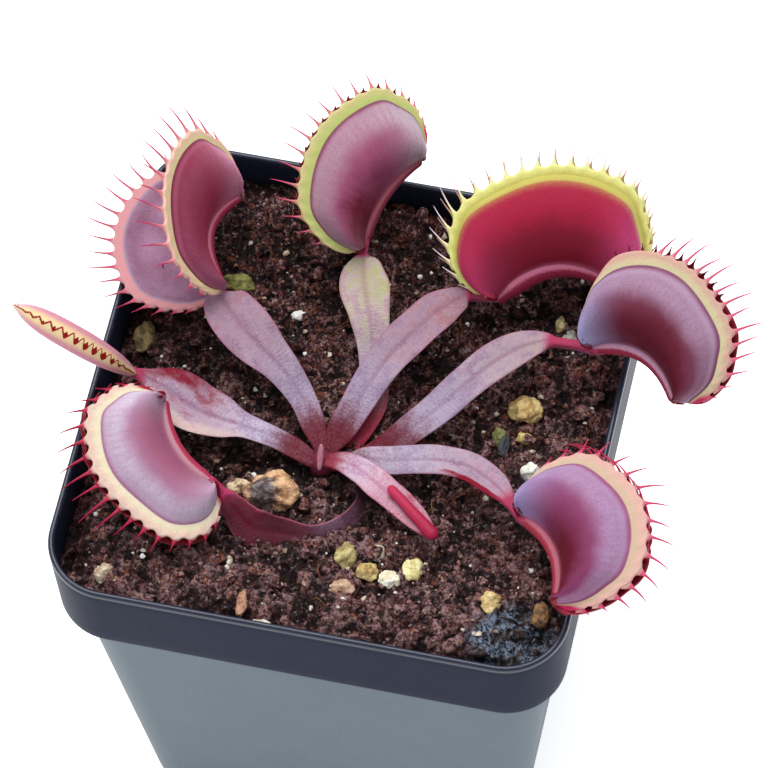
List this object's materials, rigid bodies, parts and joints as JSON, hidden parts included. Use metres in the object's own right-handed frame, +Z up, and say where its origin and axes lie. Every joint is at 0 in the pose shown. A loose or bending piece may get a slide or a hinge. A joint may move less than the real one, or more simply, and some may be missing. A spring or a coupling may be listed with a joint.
{
  "type": "potted venus flytrap",
  "caption": "Venus flytrap rosette with toothed snap traps held out over the rim of a tapered square nursery pot filled with peat soil.",
  "frame": {"origin": "on the ground under the centre of the pot foot", "axes": "+Z up out of the pot, +X to the right along the front edge of the pot, +Y to the back, so the front faces -Y"},
  "size_m": [0.1258, 0.0988, 0.1244],
  "materials": {
    "pot_plastic": "satin slate grey plastic",
    "peat_soil": null,
    "crown_bud": "soft plant tissue, pink to crimson",
    "leaf_blade": "waxy leaf, lilac grey bloom with pink margins",
    "leaf_blade_green": "waxy leaf, olive green flushed purple",
    "leaf_blade_red": "glossy dark red leaf",
    "trap_mauve": "waxy mauve lobes with a cream to pink margin",
    "trap_crimson": "waxy crimson lobes with a yellow green margin",
    "trap_magenta": "waxy magenta lobes with a yellow green margin",
    "trap_cream": "cream margins between peach pink lobes",
    "grit": "matte ochre to cream grit",
    "dead_leaf": "dry brown leaf scrap"
  },
  "bodies": {
    "root": {"pot": "pot_plastic", "soil": "peat_soil", "crown": "crown_bud", "petiole_upper_right": "leaf_blade", "petiole_front": "leaf_blade", "petiole_upper_left": "leaf_blade", "petiole_left": "leaf_blade", "petiole_lower_right": "leaf_blade", "petiole_right": "leaf_blade", "petiole_top": "leaf_blade_green", "petiole_lower_left": "leaf_blade_red", "trap_upper_left": "trap_magenta", "trap_top": "trap_mauve", "trap_upper_right": "trap_crimson", "trap_right": "trap_mauve", "trap_lower_right": "trap_mauve", "trap_lower_left": "trap_mauve", "trap_left": "trap_cream", "trap_front_young": "trap_crimson", "grit_cream_by_lump": "grit", "grit_front_amber": "grit", "grit_front_cream": "grit", "grit_front_ochre": "grit", "grit_front_yellow": "grit", "grit_lower_right_tan": "grit", "grit_lower_right_yellow": "grit", "grit_right_yellow": "grit", "grit_tan_lump": "grit", "grit_upper_left_olive": "grit", "dead_leaf_scrap": "dead_leaf"}
  },
  "joints": []
}
